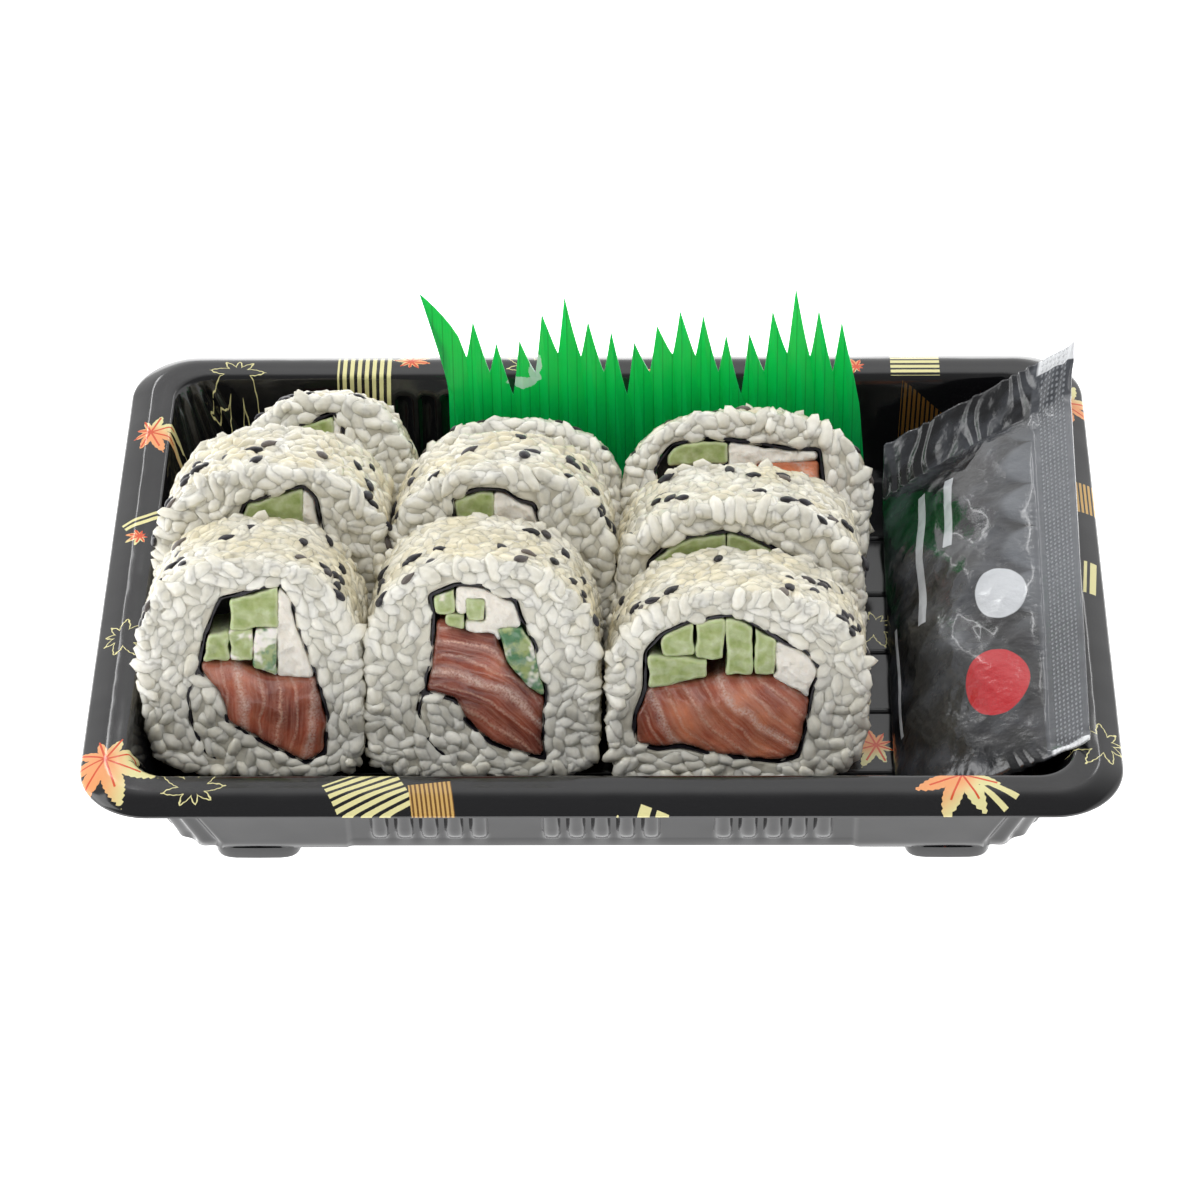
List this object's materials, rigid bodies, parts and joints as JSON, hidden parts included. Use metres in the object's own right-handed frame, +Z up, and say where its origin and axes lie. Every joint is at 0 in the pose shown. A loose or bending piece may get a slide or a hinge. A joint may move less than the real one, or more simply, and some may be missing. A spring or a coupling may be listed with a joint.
{
  "type": "takeaway sushi tray",
  "caption": "Shallow black plastic tray of inside-out sushi rolls with sesame, a pleated green grass divider and a soy sauce sachet leaning on one rim.",
  "frame": {"origin": "under the middle of the tray, on the plane its feet stand on", "axes": "+X along the tray's long side to the sachet, +Y towards the grass divider, +Z up; the cut faces of the rolls look towards -Y and up"},
  "size_m": [0.186, 0.132, 0.0526],
  "materials": {
    "tray_plastic": "gloss black pressed sheet with printed leaves and stripes on the rim",
    "grass_plastic": "thin green film, finely pleated",
    "sachet_film": "creased black film with embossed dots on its long seal",
    "rice": "moist cooked rice with black sesame seeds",
    "nori": "damp dark seaweed sheet",
    "salmon": "raw salmon with pale fat lines",
    "cream_cheese": "soft cream cheese",
    "cucumber": "wet pale cucumber, dark green skin"
  },
  "bodies": {
    "root": {"tray": "tray_plastic", "grass_divider": "grass_plastic", "soy_sachet": "sachet_film", "rice_back_left": "rice", "rice_back_middle": "rice", "rice_back_right": "rice", "rice_front_left": "rice", "rice_front_middle": "rice", "rice_front_right": "rice", "rice_middle_centre": "rice", "rice_middle_left": "rice", "rice_middle_right": "rice", "nori_back_left": "nori", "nori_back_middle": "nori", "nori_back_right": "nori", "nori_front_left": "nori", "nori_front_middle": "nori", "nori_front_right": "nori", "nori_middle_centre": "nori", "nori_middle_left": "nori", "nori_middle_right": "nori", "salmon_back_left": "salmon", "salmon_back_middle": "salmon", "salmon_back_right": "salmon", "salmon_front_left": "salmon", "salmon_front_middle": "salmon", "salmon_front_right": "salmon", "salmon_middle_centre": "salmon", "salmon_middle_left": "salmon", "salmon_middle_right": "salmon", "cream_cheese_back_left": "cream_cheese", "cream_cheese_back_middle": "cream_cheese", "cream_cheese_back_right": "cream_cheese", "cream_cheese_front_left": "cream_cheese", "cream_cheese_front_middle": "cream_cheese", "cream_cheese_front_right": "cream_cheese", "cream_cheese_middle_centre": "cream_cheese", "cream_cheese_middle_left": "cream_cheese", "cream_cheese_middle_right": "cream_cheese", "cucumber_back_left_1": "cucumber", "cucumber_back_middle_1": "cucumber", "cucumber_back_right_1": "cucumber", "cucumber_front_left_1": "cucumber", "cucumber_front_left_2": "cucumber", "cucumber_front_left_3": "cucumber", "cucumber_front_left_4": "cucumber", "cucumber_front_middle_1": "cucumber", "cucumber_front_middle_2": "cucumber", "cucumber_front_middle_3": "cucumber", "cucumber_front_middle_4": "cucumber", "cucumber_front_right_1": "cucumber", "cucumber_front_right_2": "cucumber", "cucumber_front_right_3": "cucumber", "cucumber_front_right_4": "cucumber", "cucumber_front_right_5": "cucumber", "cucumber_middle_centre_1": "cucumber", "cucumber_middle_left_1": "cucumber", "cucumber_middle_right_1": "cucumber", "cucumber_middle_right_2": "cucumber"}
  },
  "joints": []
}
